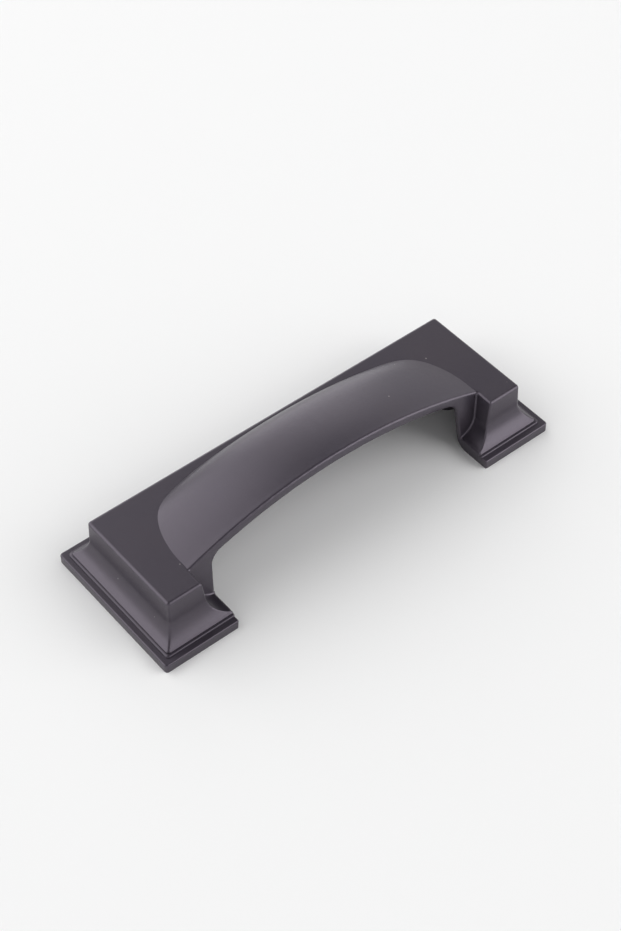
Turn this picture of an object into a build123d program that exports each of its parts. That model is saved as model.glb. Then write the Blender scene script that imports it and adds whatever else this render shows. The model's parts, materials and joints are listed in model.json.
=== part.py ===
from build123d import *
import math
import os

# Cup pull for a drawer: one hollow die casting with a square stepped foot at each end and an arched hood
# between them. X runs along the pull, +Z points away from the drawer front, and fingers enter from -Y.
# The mounting face lies in the plane z = 0, and its centre is the origin. Sizes are in millimetres.

# Base outline and heights
BASE_LENGTH = 122.0
BASE_WIDTH = 44.0
SHOULDER_HEIGHT = 15.6
HOOD_HEIGHT = 23.5

# Moulding round the base, from the outline inwards
FLANGE_HEIGHT = 2.6
FLANGE_EDGE_RADIUS = 0.4
LEDGE_WIDTH = 1.6
STEP_HEIGHT = 0.5
STEP_WIDTH = 0.65
STEP_CHAMFER = 0.2
COVE_RISER = 0.35
COVE_HEIGHT = 5.9
COVE_DEPTH = 3.3
WALL_DRAFT = 1.5
SHOULDER_EDGE_RADIUS = 0.8
CORNER_RADIUS = 0.9

# Gap between the feet: its sides rise from a thin toe, flare out and then stand nearly upright
OPENING_SPAN = 79.2
OPENING_DRAFT = 4.0
TOE_RISE = 0.25
TOE_CHAMFER = 0.4
FLARE_WIDTH = 5.1
FLARE_HEIGHT = 5.1
FOOT_DRAFT = 7.5
FOOT_EDGE_RADIUS = 0.5
FOOT_ROOT_RADIUS = 0.5

# Hood: an arch from foot to foot, carried back over a sloping crown and a round shoulder
CROWN_SLOPE = 2.0
CROWN_DEPTH = 13.4
HOOD_ROUND = 13.5
HOOD_STEEPEST = 85.0
LIP_EDGE_RADIUS = 0.7

# Front face of the hood: set back from the base outline, and leaning back as it rises
FRONT_SETBACK = 9.3
FRONT_LEAN = 6.0

# Shell thicknesses and the arch over the fingers
WALL = 2.3
HOOD_THICKNESS = 2.4
WEB_THICKNESS = 1.3
WEB_CORNER_RADIUS = 3.5
OPENING_CORNER = 4.3
OPENING_CHAMFER = 0.3
MOUNTING_RIM = 3.4

# Screw bosses inside the feet, tapped M4
HOLE_SPACING = 96.0
HOLE_OFFSET_Y = 2.5
BOSS_RADIUS = 3.9
BOSS_RECESS = 0.3
TAP_RADIUS = 1.65
TAP_DEPTH = 10.0
MOUTH_CHAMFER = 0.4
DRILL_POINT = 118.0
RIB_THICKNESS = 1.6
RIB_HEIGHT = 8.0

# How far a cutting solid runs past what it cuts, how deep joined solids overlap, and what counts as touching
PAST = 6.0
OVERLAP = 0.5
TOUCH = 0.01

# Heights and insets that follow from the sizes above
STEP_TOP = FLANGE_HEIGHT + STEP_HEIGHT
COVE_BOTTOM = STEP_TOP + COVE_RISER
COVE_TOP = COVE_BOTTOM + COVE_HEIGHT
COVE_INSET = LEDGE_WIDTH + STEP_WIDTH
COVE_RADIUS = (COVE_DEPTH**2 + COVE_HEIGHT**2) / (2 * COVE_DEPTH)
WALL_INSET = COVE_INSET + COVE_DEPTH
SHOULDER_INSET = WALL_INSET + (SHOULDER_HEIGHT - COVE_TOP) * math.tan(math.radians(WALL_DRAFT))
CEILING = SHOULDER_HEIGHT - WALL
TOE_HEIGHT = COVE_BOTTOM + TOE_RISE

# Half widths of the gap, measured at the top of the toe, at the end of the flare and on the shoulder
TOE_X = OPENING_SPAN / 2 - TOE_HEIGHT * math.tan(math.radians(OPENING_DRAFT))
FLARE_TOP = TOE_HEIGHT + FLARE_HEIGHT
FLARE_X = TOE_X + FLARE_WIDTH
FOOT_X = FLARE_X + (SHOULDER_HEIGHT - FLARE_TOP) * math.tan(math.radians(FOOT_DRAFT))

# The arch springs from the shoulder where the gap ends
HOOD_RISE = HOOD_HEIGHT - SHOULDER_HEIGHT
HOOD_ARC_RADIUS = (HOOD_RISE**2 + FOOT_X**2) / (2 * HOOD_RISE)

# Front face of the hood as a plane, its normal pointing towards the fingers
FRONT = Plane(
    origin=(0, FRONT_SETBACK - BASE_WIDTH / 2, 0),
    x_dir=(1, 0, 0),
    z_dir=(0, -math.cos(math.radians(FRONT_LEAN)), math.sin(math.radians(FRONT_LEAN))),
)


def mirrored_face(half_profile):
    """Closed face from a rising run of edges on the right of a sketch, and their mirror image."""
    ends = half_profile.vertices().sort_by(Axis.Y)
    level = [Line((end.X, end.Y), (-end.X, end.Y)) for end in (ends[0], ends[-1])]
    return make_face([*half_profile.edges(), *mirror(half_profile, Plane.YZ).edges(), *level])


def along_y(face, start, depth):
    """Prism of a sketch drawn in X and Z, from y = start over a depth along +Y."""
    return Pos(0, start, 0) * extrude(Plane.XZ * face, -depth)


def along_x(face, length):
    """Prism of a sketch drawn in Y and Z, centred on x = 0."""
    return extrude(Plane.YZ * face, length / 2, both=True)


def moulding_profile(half):
    """Outer section of the moulded base at a distance half from its middle to its outline."""
    outer = [
        (half, 0),
        (half, FLANGE_HEIGHT),
        (half - LEDGE_WIDTH, FLANGE_HEIGHT),
        (half - LEDGE_WIDTH, STEP_TOP),
        (half - COVE_INSET, STEP_TOP),
        (half - COVE_INSET, COVE_BOTTOM),
    ]
    wall = Line((half - WALL_INSET, COVE_TOP), (half - SHOULDER_INSET, SHOULDER_HEIGHT))
    cove = TangentArc(wall @ 0, outer[-1], tangent=(wall % 0) * -1)
    return mirrored_face(Polyline(*outer) + cove + wall)


def pocket_profile(half):
    """Inner section of the moulded base: it follows the cove and the wall at the wall thickness."""
    rim = half - MOUNTING_RIM
    wall_x = half - WALL_INSET - WALL
    radius = COVE_RADIUS + WALL
    drop = math.sqrt(radius**2 - (radius - (rim - wall_x)) ** 2)
    base = Line((rim, -PAST), (rim, COVE_TOP - drop))
    cove = RadiusArc((rim, COVE_TOP - drop), (wall_x, COVE_TOP), radius)
    wall = Line((wall_x, COVE_TOP), (half - SHOULDER_INSET - WALL, CEILING))
    return mirrored_face(base + cove + wall)


def gap_profile(offset):
    """Section of the gap between the feet, each side moved into its foot by an offset."""
    draft = math.radians(FOOT_DRAFT)
    upward = Vector(math.sin(draft), math.cos(draft))
    inward = Vector(-math.cos(draft), math.sin(draft))
    chord = Vector(FLARE_WIDTH, FLARE_HEIGHT)
    radius = -chord.dot(chord) / (2 * chord.dot(inward))
    centre = Vector(FLARE_X, FLARE_TOP) + inward * radius
    flare_top = centre - inward * (radius + offset)
    toe_x = TOE_X + offset
    toe_top = Vector(toe_x, centre.Y - math.sqrt((radius + offset) ** 2 - (toe_x - centre.X) ** 2))
    toe = Polyline((OPENING_SPAN / 2 + offset, -PAST), (OPENING_SPAN / 2 + offset, 0), toe_top)
    flare = TangentArc(flare_top, toe_top, tangent=upward * -1)
    wall = Line(flare_top, flare_top + upward * (SHOULDER_HEIGHT + PAST))
    return mirrored_face(toe + flare + wall)


def hood_path(depth_below, start, low):
    """Side view of the crown at a depth below its top, from y = start back and down to a height."""
    slope = math.radians(CROWN_SLOPE)
    lip_y = FRONT.origin.Y + HOOD_HEIGHT * math.tan(math.radians(FRONT_LEAN))
    along = Vector(0, math.cos(slope), -math.sin(slope))
    upright = Vector(0, math.sin(slope), math.cos(slope))
    lip = Vector(0, lip_y, HOOD_HEIGHT) - upright * depth_below
    crown = Line(lip - along * (lip_y - start), lip + along * CROWN_DEPTH)
    radius = HOOD_ROUND - depth_below
    centre = crown @ 1 - upright * radius
    turn = min(math.acos((low - centre.Z) / radius), math.radians(HOOD_STEEPEST))
    end = centre + Vector(0, math.sin(turn), math.cos(turn)) * radius
    return Wire([*crown.edges(), *TangentArc(crown @ 1, end, tangent=along).edges()])


def swept_back(arch, path):
    """A face drawn in X and Z about the crown, carried along the crown's path without turning."""
    return sweep(Pos(path @ 0) * (Plane.XZ * arch), path, normal=(0, 1, 0))


def arch_section(half_width, radius, side_draft):
    """Face below an arch whose crown is at the origin, reaching down past the mounting face."""
    edge_z = math.sqrt(radius**2 - half_width**2) - radius
    low = -HOOD_HEIGHT - PAST
    low_x = half_width + (edge_z - low) * math.tan(math.radians(side_draft))
    arch = RadiusArc((-half_width, edge_z), (half_width, edge_z), radius)
    sides = Polyline((half_width, edge_z), (low_x, low), (-low_x, low), (-half_width, edge_z))
    return make_face(arch.edges() + sides.edges())


def in_front(offset):
    """Block that fills the space in front of the hood's face, moved back by an offset."""
    reach = BASE_WIDTH + HOOD_HEIGHT
    block = Box(2 * BASE_LENGTH, 2 * reach, reach, align=(Align.CENTER, Align.CENTER, Align.MIN))
    return FRONT.offset(-offset) * block


def foot_gap(profile, depth):
    """Space between the feet in front of the hood: a profile of the gap, reaching back by a depth."""
    return along_y(profile, -BASE_WIDTH, 2 * BASE_WIDTH) & in_front(depth)


def level_edges(shape, height, inset, width):
    """Outer edges of a ledge at one height, whose outer side lies at an inset from the base's outline."""
    found = []
    for edge in shape.edges():
        level = all(abs(vertex.Z - height) < TOUCH for vertex in edge.vertices())
        middle = edge.center()
        out_x = BASE_LENGTH / 2 - inset - abs(middle.X)
        out_y = BASE_WIDTH / 2 - inset - abs(middle.Y)
        if level and min(out_x, out_y) < 0.75 * width:
            found.append(edge)
    return found


def moulded_base():
    """Stepped and coved base with flat shoulders, mitred at its four corners and rounded there."""
    base = along_y(moulding_profile(BASE_LENGTH / 2), -BASE_WIDTH, 2 * BASE_WIDTH)
    base = base & along_x(moulding_profile(BASE_WIDTH / 2), 2 * BASE_LENGTH)
    mitres = [edge for edge in base.edges() if abs((edge @ 1).Z - (edge @ 0).Z) > TOUCH]
    return fillet(mitres, CORNER_RADIUS)


def rising_edges(shape, front, rear):
    """Edges of the gap's two sides that rise, between two places in depth."""
    found = []
    for edge in shape.edges():
        middle = edge.center()
        rises = abs((edge @ 1).Z - (edge @ 0).Z) > TOUCH
        if rises and abs(middle.X) < FOOT_X + SHOULDER_EDGE_RADIUS and front < middle.Y < rear:
            found.append(edge)
    return found


def feet():
    """The base with the gap cut in its front, which leaves a foot at each end, and its edges broken."""
    gap = gap_profile(0)
    toes = [vertex for vertex in gap.vertices() if abs(vertex.Y - TOE_HEIGHT) < TOUCH]
    base = moulded_base() - foot_gap(chamfer(toes, TOE_CHAMFER), 0)
    roots = rising_edges(base, FRONT.origin.Y, 0)
    base = fillet(roots, FOOT_ROOT_RADIUS)
    shoulder = [e for e in base.edges() if all(abs(v.Z - SHOULDER_HEIGHT) < TOUCH for v in e.vertices())]
    base = fillet(shoulder, SHOULDER_EDGE_RADIUS)
    inner_corners = rising_edges(base, -BASE_WIDTH, FRONT.origin.Y - 2 * FOOT_ROOT_RADIUS)
    base = fillet(inner_corners, FOOT_EDGE_RADIUS)
    base = fillet(level_edges(base, FLANGE_HEIGHT, 0, LEDGE_WIDTH), FLANGE_EDGE_RADIUS)
    return chamfer(level_edges(base, STEP_TOP, LEDGE_WIDTH, STEP_WIDTH), STEP_CHAMFER)


def hood():
    """Solid hood: the arch carried back into the base, its face trimmed to the front plane."""
    path = hood_path(0, FRONT.origin.Y - PAST, SHOULDER_HEIGHT - OVERLAP)
    solid = swept_back(arch_section(FOOT_X, HOOD_ARC_RADIUS, 0), path) - in_front(0)
    solid = split(solid, Plane.XY, keep=Keep.TOP)
    face_edges = [edge for edge in solid.edges() if edge.center().Y < 0 and abs(edge.center().X) < TOUCH]
    lip = max(face_edges, key=lambda edge: edge.center().Z)
    return fillet(lip, LIP_EDGE_RADIUS)


def pockets():
    """Hollow inside the base, open at the mounting face, clear of the gap's sides and of the web."""
    hollow = along_y(pocket_profile(BASE_LENGTH / 2), -BASE_WIDTH, 2 * BASE_WIDTH)
    hollow = hollow & along_x(pocket_profile(BASE_WIDTH / 2), 2 * BASE_LENGTH)
    return hollow - foot_gap(gap_profile(WALL), WEB_THICKNESS)


def throat(offset):
    """Finger space under the hood, its walls moved outwards by an offset."""
    radius = HOOD_ARC_RADIUS - HOOD_THICKNESS + offset
    narrowing = math.tan(math.radians(OPENING_DRAFT))
    half_width = OPENING_SPAN / 2 - SHOULDER_HEIGHT * narrowing + offset
    arch = arch_section(half_width, radius, OPENING_DRAFT)
    arch = fillet(arch.vertices().group_by(Axis.Y)[-1], OPENING_CORNER + offset)
    return swept_back(arch, hood_path(HOOD_THICKNESS - offset, FRONT.origin.Y - PAST, CEILING - OVERLAP))


def opening_chamfer():
    """Cutter for the edge of the opening in the front face, which leaves the toes of the feet whole."""
    outer = section(throat(OPENING_CHAMFER), section_by=FRONT)
    inner = section(throat(0), section_by=FRONT.offset(-OPENING_CHAMFER))
    return loft([outer.face(), inner.face()]) & foot_gap(gap_profile(0), OPENING_CHAMFER)


def web_relief():
    """Cutter that rounds the lower rear corner of the web and of the toes beside the gap."""
    rear_y = FRONT.origin.Y + WEB_THICKNESS / math.cos(math.radians(FRONT_LEAN))
    height = 2 * WEB_CORNER_RADIUS
    lean = height * math.tan(math.radians(FRONT_LEAN))
    corners = [(rear_y - height, 0), (rear_y, 0), (rear_y + lean, height), (rear_y - height, height)]
    web = make_face(Polyline(*corners, close=True))
    web = fillet(web.vertices().sort_by_distance((rear_y, 0))[0], WEB_CORNER_RADIUS)
    relief = Pos(rear_y, 0) * Rectangle(height, height) - web
    return along_x(relief, 2 * (FOOT_X + WALL))


def screw_boss(x):
    """Round boss hanging from the ceiling of a foot, with a rib to the end wall and one to the rear wall."""
    side = math.copysign(1, x)
    height = CEILING - BOSS_RECESS + OVERLAP
    boss = Pos(x, HOLE_OFFSET_Y, BOSS_RECESS) * Cylinder(
        BOSS_RADIUS, height, align=(Align.CENTER, Align.CENTER, Align.MIN)
    )
    end_run = BASE_LENGTH / 2 - SHOULDER_INSET - abs(x)
    end_rib = Box(end_run, RIB_THICKNESS, RIB_HEIGHT, align=(Align.MIN, Align.CENTER, Align.MAX))
    rear_run = BASE_WIDTH / 2 - SHOULDER_INSET - HOLE_OFFSET_Y
    rear_rib = Box(RIB_THICKNESS, rear_run, RIB_HEIGHT, align=(Align.CENTER, Align.MIN, Align.MAX))
    top = Pos(x, HOLE_OFFSET_Y, CEILING + OVERLAP)
    return boss + top * Rot(0, 0, 0 if side > 0 else 180) * end_rib + top * rear_rib


def tapped_hole(x):
    """Blind M4 hole up the middle of a boss, with a chamfered mouth and a drilled point."""
    upward = (Align.CENTER, Align.CENTER, Align.MIN)
    point = TAP_RADIUS / math.tan(math.radians(DRILL_POINT / 2))
    mouth = Cone(TAP_RADIUS + MOUTH_CHAMFER, TAP_RADIUS, MOUTH_CHAMFER, align=upward)
    bore = Cylinder(TAP_RADIUS, TAP_DEPTH, align=upward)
    end = Pos(0, 0, TAP_DEPTH) * Cone(TAP_RADIUS, 0, point, align=upward)
    return Pos(x, HOLE_OFFSET_Y, BOSS_RECESS) * (mouth + bore + end)


def cup_pull_casting():
    """The whole casting: feet and hood in one, hollowed from behind, with its two tapped bosses."""
    casting = feet() + hood() - pockets() - throat(0) - opening_chamfer() - web_relief()
    for x in (-HOLE_SPACING / 2, HOLE_SPACING / 2):
        casting = casting + screw_boss(x) - tapped_hole(x)
    return casting


os.makedirs("parts", exist_ok=True)
export_step(cup_pull_casting(), "parts/cup_pull_casting.step")
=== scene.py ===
import json
import math

import bmesh
import bpy
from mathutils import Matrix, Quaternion, Vector


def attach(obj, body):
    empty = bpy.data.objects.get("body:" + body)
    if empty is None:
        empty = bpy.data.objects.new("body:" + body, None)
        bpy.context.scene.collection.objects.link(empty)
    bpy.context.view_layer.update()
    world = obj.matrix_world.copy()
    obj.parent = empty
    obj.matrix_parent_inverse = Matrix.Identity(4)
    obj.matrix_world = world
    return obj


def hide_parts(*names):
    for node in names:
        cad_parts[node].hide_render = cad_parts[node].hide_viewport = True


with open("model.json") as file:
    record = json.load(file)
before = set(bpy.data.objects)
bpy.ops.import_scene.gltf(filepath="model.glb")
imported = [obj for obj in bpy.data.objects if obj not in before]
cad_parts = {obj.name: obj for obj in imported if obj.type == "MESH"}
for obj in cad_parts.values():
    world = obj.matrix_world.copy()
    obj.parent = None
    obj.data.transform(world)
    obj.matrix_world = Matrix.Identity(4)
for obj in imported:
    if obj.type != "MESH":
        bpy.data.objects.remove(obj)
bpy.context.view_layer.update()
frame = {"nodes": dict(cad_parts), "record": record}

scene = bpy.context.scene
scene.view_settings.view_transform = "Standard"


# The casting: the whole pull in one piece, pressure die cast in zinc and hollow from behind. Its shape is the
# frame's own node, copied and merged so that the rounded edges shade smoothly into the flats beside them.
MM = 0.001
MERGE_DISTANCE = 0.0001 * MM

casting = bmesh.new()
casting.from_mesh(frame["nodes"]["cup_pull_casting"].data)
bmesh.ops.remove_doubles(casting, verts=casting.verts, dist=MERGE_DISTANCE)


# The hood's outer skin: cast with the rest, and gently crowned where the node has a slope and a round. Its
# profile is a fit to the line in the photograph where the hood meets the shoulders. The skin is cut across
# into strips and eased onto that profile, and its rim slides along the shoulders.
SHOULDER_Z = 15.6 * MM
ARCH_HALF_WIDTH = 45.34 * MM
LIP_Z = 23.5 * MM
LIP_Y = -10.23 * MM
CROWN_SLOPE = math.radians(2)
CROWN_DEPTH = 13.4 * MM
ROLL_RADIUS = 13.5 * MM

# The eased profile: an arc, and a roll that grows with a power of the distance.
CROWNED_FROM = -7.5 * MM
CROWNED_TO = 12.1 * MM
CROWN_RADIUS = 80 * MM
ROLL_DROP = 1.84 * MM
ROLL_POWER = 9.8

# The part of the skin that is eased, and the strips that it is cut into.
SKIN_FRONT = -9.3 * MM
SKIN_BACK = 13.0 * MM
BLEND = 2.0 * MM
SKIN_STEP = 0.8 * MM
SKIN_TOLERANCE = 0.03 * MM
SKIN_FACING = 0.3

arch_rise = LIP_Z - SHOULDER_Z
arch_radius = (arch_rise**2 + ARCH_HALF_WIDTH**2) / (2 * arch_rise)
roll_y = LIP_Y + CROWN_DEPTH * math.cos(CROWN_SLOPE) - ROLL_RADIUS * math.sin(CROWN_SLOPE)
roll_z = LIP_Z - CROWN_DEPTH * math.sin(CROWN_SLOPE) - ROLL_RADIUS * math.cos(CROWN_SLOPE)
roll_start = roll_y + ROLL_RADIUS * math.sin(CROWN_SLOPE)


def arch_drop(x):
    """How far the arch lies under its own crown at a distance from the middle."""
    return arch_radius - math.sqrt(arch_radius**2 - x**2)


def arch_width(height):
    """Half width of the arch at a height of its crown over the shoulders."""
    return math.sqrt(max(2 * arch_radius * height - height**2, 0.0))


def plain_crown(y):
    """Height of the node's crown: a slope, then a round shoulder."""
    if y < roll_start:
        return LIP_Z - (y - LIP_Y) * math.tan(CROWN_SLOPE)
    return roll_z + math.sqrt(max(ROLL_RADIUS**2 - (y - roll_y) ** 2, 0.0))


def eased_crown(y):
    """Height of the eased crown, which runs back into the plain one at the rear."""
    back = max(y - CROWNED_FROM, 0.0)
    drop = back**2 / (2 * CROWN_RADIUS) + ROLL_DROP * (back / (CROWNED_TO - CROWNED_FROM)) ** ROLL_POWER
    share = min(max((SKIN_BACK - y) / BLEND, 0.0), 1.0)
    return plain_crown(y) + share * (plain_crown(SKIN_FRONT) - drop - plain_crown(y))


def skin_faces():
    """Faces of the hood's outer skin, found by their place on the plain crown."""
    return [
        face
        for face in casting.faces
        if face.normal.z > SKIN_FACING
        and all(
            vertex.co.z > SHOULDER_Z - SKIN_TOLERANCE
            and abs(plain_crown(vertex.co.y) - arch_drop(vertex.co.x) - vertex.co.z) < SKIN_TOLERANCE
            for vertex in face.verts
        )
    ]


shoulder_faces = [
    face
    for face in casting.faces
    if all(abs(vertex.co.z - SHOULDER_Z) < MERGE_DISTANCE for vertex in face.verts)
]
shoulders = bmesh.ops.dissolve_faces(casting, faces=shoulder_faces)["region"]
cut = SKIN_FRONT
while cut < roll_start:
    faces = skin_faces()
    edges = dict.fromkeys(edge for face in faces for edge in face.edges)
    vertices = dict.fromkeys(vertex for face in faces for vertex in face.verts)
    strip = [*faces, *edges, *vertices]
    bmesh.ops.bisect_plane(casting, geom=strip, dist=MERGE_DISTANCE, plane_co=(0, cut, 0), plane_no=(0, 1, 0))
    cut += SKIN_STEP
faces = skin_faces()
shoulder_edges = {edge for face in shoulders for edge in face.edges}
rim_edges = {edge for face in faces for edge in face.edges if edge in shoulder_edges}
rim = {vertex for edge in rim_edges for vertex in edge.verts}
for edge in rim_edges:
    edge.seam = True
for vertex in dict.fromkeys(vertex for face in faces for vertex in face.verts):
    x, y, _ = vertex.co
    if SKIN_FRONT < y < SKIN_BACK:
        old_width = arch_width(plain_crown(y) - SHOULDER_Z)
        new_width = arch_width(eased_crown(y) - SHOULDER_Z)
        vertex.co.x = math.copysign(new_width, x) if vertex in rim else x * new_width / old_width
        vertex.co.z = SHOULDER_Z if vertex in rim else eased_crown(y) - arch_drop(vertex.co.x)
bmesh.ops.triangulate(casting, faces=[*faces, *shoulders])


# The threads: M4, cut by a tap in the two holes that are drilled up the casting's bosses. They run from the
# countersunk mouth to the drilled point, and die out over the last turn at both ends.
class Wire:
    """One output socket of a tree. Arithmetic on it adds Math nodes, and node() adds any other node.

    Inputs are given by name, or by number where the node has several of one name.
    """

    def __init__(self, tree, socket=None):
        self.tree = tree
        self.socket = socket

    def node(self, kind, inputs=None, out=0, **settings):
        made = self.tree.nodes.new(kind)
        for name, value in settings.items():
            setattr(made, name, value)
        for key, value in (inputs or {}).items():
            if isinstance(value, Wire):
                self.tree.links.new(value.socket, made.inputs[key])
            else:
                made.inputs[key].default_value = value
        return Wire(self.tree, made.outputs[out])

    def out(self, name):
        return Wire(self.tree, self.socket.node.outputs[name])

    def maths(self, operation, *values):
        return self.node("ShaderNodeMath", dict(enumerate(values)), operation=operation)

    def __add__(self, other):
        return self.maths("ADD", self, other)

    def __sub__(self, other):
        return self.maths("SUBTRACT", self, other)

    def __rsub__(self, other):
        return self.maths("SUBTRACT", other, self)

    def __mul__(self, other):
        return self.maths("MULTIPLY", self, other)

    def __truediv__(self, other):
        return self.maths("DIVIDE", self, other)

    __radd__ = __add__
    __rmul__ = __mul__

    def ramp(self, low, high, to_low=0.0, to_high=1.0, kind="LINEAR"):
        """This value carried from one range to another, and held at both ends."""
        inputs = {0: self, 1: low, 2: high, 3: to_low, 4: to_high}
        return self.node("ShaderNodeMapRange", inputs, interpolation_type=kind)

    def blend(self, low, high):
        """Colour that goes from low to high as this value goes from 0 to 1."""
        return self.node("ShaderNodeMix", {0: self, 6: low, 7: high}, out=2, data_type="RGBA")


HOLES = [mount for mount in frame["record"]["mounts"] if mount["kind"] == "threaded_hole"]
HOLE_X = max(mount["pos_m"][0] for mount in HOLES)
HOLE_Y = HOLES[0]["pos_m"][1]
CREST_RADIUS = HOLES[0]["dims"]["r_mm"] * MM
ROOT_RADIUS = 2.0 * MM
PITCH = 0.7 * MM
CREST_FLAT = 0.25
ROOT_FLAT = 0.125
STEPS_PER_TURN = 8
BORE_TOLERANCE = 0.001 * MM


def on_bore(place):
    """Whether a place lies on the drilled wall of one of the two holes."""
    return abs(math.hypot(abs(place.x) - HOLE_X, place.y - HOLE_Y) - CREST_RADIUS) < BORE_TOLERANCE


right_bore = [vertex.co for vertex in casting.verts if vertex.co.x > 0 and on_bore(vertex.co)]
bore_low = min(place.z for place in right_bore)
bore_high = max(place.z for place in right_bore)
segments = sum(1 for place in right_bore if place.z - bore_low < BORE_TOLERANCE)

tree = bpy.data.node_groups.new("tapped_thread", "GeometryNodeTree")
tree.interface.new_socket("Geometry", in_out="OUTPUT", socket_type="NodeSocketGeometry")
thread_sizes = {
    "Crest Radius": CREST_RADIUS,
    "Root Radius": ROOT_RADIUS,
    "Pitch": PITCH,
    "Low End": bore_low,
    "Length": bore_high - bore_low,
    "Hole Spacing": 2 * HOLE_X,
    "Hole Offset": HOLE_Y,
}
rings = round(STEPS_PER_TURN * (bore_high - bore_low) / PITCH)
thread_counts = {"Segments": segments, "Rings": rings}
for name in thread_sizes:
    tree.interface.new_socket(name, in_out="INPUT", socket_type="NodeSocketFloat")
for name in thread_counts:
    tree.interface.new_socket(name, in_out="INPUT", socket_type="NodeSocketInt")
given = Wire(tree).node("NodeGroupInput")
sheet = given.node(
    "GeometryNodeMeshGrid",
    {
        "Size X": 1.0,
        "Size Y": 1.0,
        "Vertices X": given.out("Segments") + 1,
        "Vertices Y": given.out("Rings") + 1,
    },
)
place = given.node("ShaderNodeSeparateXYZ", {0: given.node("GeometryNodeInputPosition")})
around = place.out("X") + 0.5
along = place.out("Y") + 0.5
height = along * given.out("Length")
phase = given.maths("FRACT", height / given.out("Pitch") - around + 1)
depth = given.maths("ABSOLUTE", 2 * phase - 1).ramp(CREST_FLAT, 1 - ROOT_FLAT)
fade = given.maths("MINIMUM", along, 1 - along) * given.out("Length") / given.out("Pitch")
depth = depth * fade.ramp(0.0, 1.0)
radius = given.out("Crest Radius") + depth * (given.out("Root Radius") - given.out("Crest Radius"))
angle = around * (2 * math.pi)
moved = given.node(
    "ShaderNodeCombineXYZ",
    {
        "X": radius * given.maths("COSINE", angle),
        "Y": radius * given.maths("SINE", angle),
        "Z": given.out("Low End") + height,
    },
)
liner = given.node("GeometryNodeSetPosition", {"Geometry": sheet, "Position": moved})
liner = given.node("GeometryNodeFlipFaces", {"Mesh": liner})
spacing = given.out("Hole Spacing")
start = given.node("ShaderNodeCombineXYZ", {"X": spacing / -2, "Y": given.out("Hole Offset")})
step = given.node("ShaderNodeCombineXYZ", {"X": spacing})
holes = given.node("GeometryNodeMeshLine", {"Count": 2, "Start Location": start, "Offset": step})
liners = given.node("GeometryNodeInstanceOnPoints", {"Points": holes, "Instance": liner})
liners = given.node("GeometryNodeRealizeInstances", {"Geometry": liners})


# The coating: satin black powder, sprayed on and baked, with a faint violet cast. It is finely mottled, a
# little cloudy in its sheen, and holds a few specks of dust as powder coating does.
COAT_COLOUR = (0.0200, 0.0180, 0.0275, 1.0)
COAT_COLOUR_WARM = (0.0245, 0.0195, 0.0240, 1.0)
SPECK_COLOUR = (0.22, 0.20, 0.20, 1.0)
COAT_ROUGHNESS = 0.36
COAT_IOR = 1.75
SPECULAR_TINT = (0.95, 0.85, 1.0, 1.0)
CLOUDS = {"Scale": 40.0, "Detail": 3.0, "Roughness": 0.55}
MOTTLE = {"Scale": 1300.0, "Detail": 2.0, "Roughness": 0.6}
GRAIN = {"Scale": 4200.0, "Detail": 1.0, "Roughness": 0.5}
SPECKS = {"Scale": 170.0, "Randomness": 1.0}
SPECK_CORE = 0.020
SPECK_EDGE = 0.042
CLOUD_SHEEN = 0.06
MOTTLE_SHEEN = 0.16
MOTTLE_RELIEF = 0.7
GRAIN_RELIEF = 0.3
SPECK_RELIEF = 1.5
RELIEF = {"Strength": 0.60, "Distance": 0.03 * MM}

coating = bpy.data.materials.new("satin_black_coating")
coating.use_nodes = True
shader = coating.node_tree.nodes["Principled BSDF"]
coat = Wire(coating.node_tree)
on_pull = {"Vector": coat.node("ShaderNodeTexCoord").out("Object")}
clouds = coat.node("ShaderNodeTexNoise", on_pull | CLOUDS)
mottle = coat.node("ShaderNodeTexNoise", on_pull | MOTTLE)
grain = coat.node("ShaderNodeTexNoise", on_pull | GRAIN)
specks = coat.node("ShaderNodeTexVoronoi", on_pull | SPECKS)
speck = specks.ramp(SPECK_CORE, SPECK_EDGE, 1.0, 0.0, "SMOOTHSTEP")
colour = speck.blend(clouds.blend(COAT_COLOUR, COAT_COLOUR_WARM), SPECK_COLOUR)
sheen = COAT_ROUGHNESS + CLOUD_SHEEN * (clouds - 0.5) + MOTTLE_SHEEN * (mottle - 0.5)
relief = MOTTLE_RELIEF * mottle + GRAIN_RELIEF * grain + SPECK_RELIEF * speck
bump = coat.node("ShaderNodeBump", RELIEF | {"Height": relief})
for socket, wire in {"Base Color": colour, "Roughness": sheen, "Normal": bump}.items():
    coating.node_tree.links.new(wire.socket, shader.inputs[socket])
shader.inputs["IOR"].default_value = COAT_IOR
shader.inputs["Specular Tint"].default_value = SPECULAR_TINT

# The threads are coated with the rest, so their tree ends in this coating.
liners = liners.node("GeometryNodeSetMaterial", {"Geometry": liners, "Material": coating})
tree.links.new(liners.socket, tree.nodes.new("NodeGroupOutput").inputs["Geometry"])


# The finished pull: casting, eased skin and threads in one closed mesh under one coat. The drilled wall of
# each hole gives way to its thread, which is welded to the countersunk mouth and to the drilled point.
WELD_DISTANCE = 0.002 * MM
WALL_FACING = 0.5
SHARP_ANGLE = math.radians(50)
AREA_WEIGHT = 100


def geometry_from(tree, values, name):
    """Plain mesh that a node tree makes with the given values of its named inputs."""
    holder = bpy.data.objects.new(name, bpy.data.meshes.new(name))
    scene.collection.objects.link(holder)
    modifier = holder.modifiers.new(name, "NODES")
    modifier.node_group = tree
    sockets = {item.name: item.identifier for item in tree.interface.items_tree if item.in_out == "INPUT"}
    for label, value in values.items():
        modifier[sockets[label]] = value
    evaluated = holder.evaluated_get(bpy.context.evaluated_depsgraph_get())
    mesh = bpy.data.meshes.new_from_object(evaluated)
    bpy.data.objects.remove(holder)
    return mesh


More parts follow.
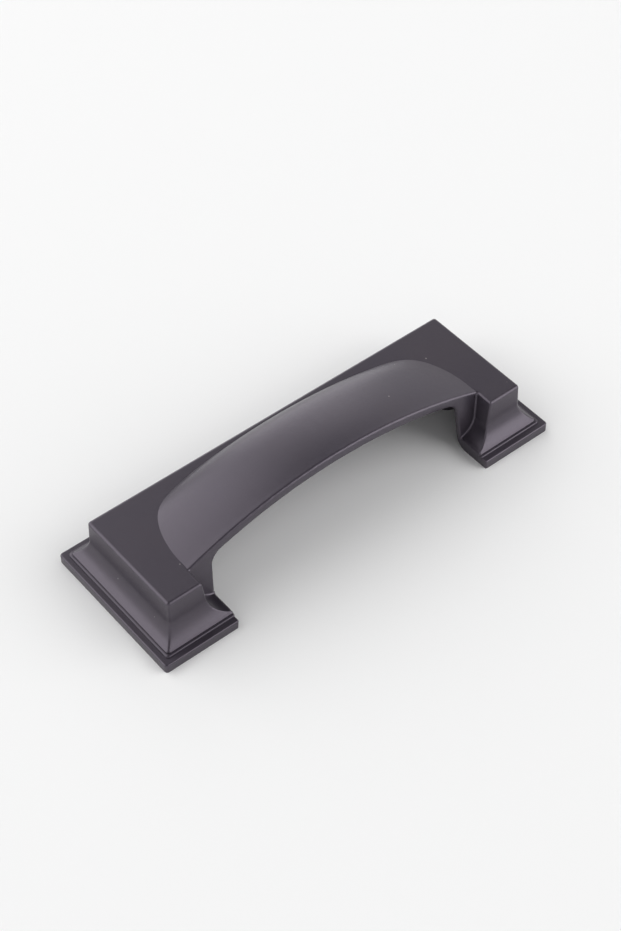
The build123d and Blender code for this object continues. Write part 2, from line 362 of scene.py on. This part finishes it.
bore_walls = [
    face
    for face in casting.faces
    if all(on_bore(vertex.co) for vertex in face.verts) and abs(face.normal.z) < WALL_FACING
]
bmesh.ops.delete(casting, geom=bore_walls, context="FACES")
casting.from_mesh(geometry_from(tree, thread_sizes | thread_counts, "thread_liners"))
bmesh.ops.remove_doubles(casting, verts=casting.verts, dist=WELD_DISTANCE)
for edge in casting.edges:
    edge.smooth = not edge.seam and edge.calc_face_angle(0.0) < SHARP_ANGLE
    edge.seam = False
for face in casting.faces:
    face.smooth = True
    face.material_index = 0
pull_mesh = bpy.data.meshes.new("cup_pull")
casting.to_mesh(pull_mesh)
casting.free()
pull_mesh.materials.append(coating)

pull = bpy.data.objects.new("cup_pull", pull_mesh)
scene.collection.objects.link(pull)
even_shading = pull.modifiers.new("even_shading", "WEIGHTED_NORMAL")
even_shading.keep_sharp = True
even_shading.weight = AREA_WEIGHT
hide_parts("cup_pull_casting")
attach(pull, "root")


# The table: a plain matt white sheet that the pull lies on, with its mounting face down. It is far wider than
# the pull, and isn't part of the object.
FLOOR_HALF = 3.0
FLOOR_COLOUR = (0.88, 0.88, 0.88, 1.0)
FLOOR_ROUGHNESS = 0.9

floor_mesh = bpy.data.meshes.new("white_table")
corners = [(x * FLOOR_HALF, y * FLOOR_HALF, 0) for x, y in ((-1, -1), (1, -1), (1, 1), (-1, 1))]
floor_mesh.from_pydata(corners, [], [(0, 1, 2, 3)])
floor = bpy.data.objects.new("white_table", floor_mesh)
scene.collection.objects.link(floor)
floor_paint = bpy.data.materials.new("white_table")
floor_paint.use_nodes = True
floor_shader = floor_paint.node_tree.nodes["Principled BSDF"]
floor_shader.inputs["Base Color"].default_value = FLOOR_COLOUR
floor_shader.inputs["Roughness"].default_value = FLOOR_ROUGHNESS
floor_shader.inputs["Specular IOR Level"].default_value = 0.0
floor_mesh.materials.append(floor_paint)


# The light: a white tent around the table whose walls end halfway up under a dark ceiling. Two large soft
# lamps stand in it at the camera's left and right, and a smaller one lower down behind the pull.
LAMPS = {
    "left_softbox": {"azimuth": 219, "elevation": 39, "width": 2.3, "height": 1.9, "radiance": 1.55},
    "right_softbox": {"azimuth": 46, "elevation": 31, "width": 1.3, "height": 1.6, "radiance": 2.2},
    "rear_softbox": {"azimuth": 152, "elevation": 17, "width": 0.7, "height": 1.0, "radiance": 1.25},
}
LAMP_DISTANCE = 1.5
TENT_COLOUR = (0.80, 0.80, 0.80, 1.0)
CEILING_COLOUR = (0.08, 0.08, 0.08, 1.0)
TENT_TOP = math.sin(math.radians(36))
CEILING_EDGE = math.sin(math.radians(50))


def towards(azimuth, elevation):
    """Unit vector from the pull towards a place in the room, its azimuth in degrees counted from -Y to +X."""
    turn, rise = math.radians(azimuth), math.radians(elevation)
    return Vector((math.sin(turn) * math.cos(rise), -math.cos(turn) * math.cos(rise), math.sin(rise)))


world = bpy.data.worlds.new("white_tent")
scene.world = world
world.use_nodes = True
room = Wire(world.node_tree)
direction = room.node("ShaderNodeTexCoord").out("Generated")
upward = room.node("ShaderNodeSeparateXYZ", {0: direction}).out("Z")
above = upward.ramp(TENT_TOP, CEILING_EDGE, kind="SMOOTHSTEP")
shade = above.blend(TENT_COLOUR, CEILING_COLOUR)
world.node_tree.links.new(shade.socket, world.node_tree.nodes["Background"].inputs["Color"])
for name, values in LAMPS.items():
    lamp_data = bpy.data.lights.new(name, "AREA")
    lamp_data.shape = "RECTANGLE"
    lamp_data.size = values["width"]
    lamp_data.size_y = values["height"]
    # An area lamp's power is pi times its area times its radiance.
    lamp_data.energy = math.pi * values["width"] * values["height"] * values["radiance"]
    lamp = bpy.data.objects.new(name, lamp_data)
    scene.collection.objects.link(lamp)
    side = towards(values["azimuth"], values["elevation"])
    lamp.location = side * LAMP_DISTANCE
    lamp.rotation_mode = "QUATERNION"
    lamp.rotation_quaternion = side.to_track_quat("Z", "Y")


# The camera: the photograph's view, from the left front and well above, slightly rolled. Its place and its
# lens were solved from the straight edges of the pull's base.
CAMERA_AZIMUTH = -38.568
CAMERA_ELEVATION = 48.099
CAMERA_ROLL = -0.726
CAMERA_DISTANCE = 506.309 * MM
CAMERA_TARGET = Vector((6.028, 7.305, 0.0)) * MM
FOCAL_PIXELS = 1988.046
IMAGE_HEIGHT = 931
SENSOR_WIDTH = 36.0

camera_data = bpy.data.cameras.new("camera")
camera_data.sensor_width = SENSOR_WIDTH
camera_data.lens = FOCAL_PIXELS * SENSOR_WIDTH / IMAGE_HEIGHT
camera = bpy.data.objects.new("camera", camera_data)
scene.collection.objects.link(camera)
back = towards(CAMERA_AZIMUTH, CAMERA_ELEVATION)
camera.location = CAMERA_TARGET + back * CAMERA_DISTANCE
camera.rotation_mode = "QUATERNION"
camera.rotation_quaternion = back.to_track_quat("Z", "Y") @ Quaternion((0, 0, 1), math.radians(CAMERA_ROLL))
scene.camera = camera
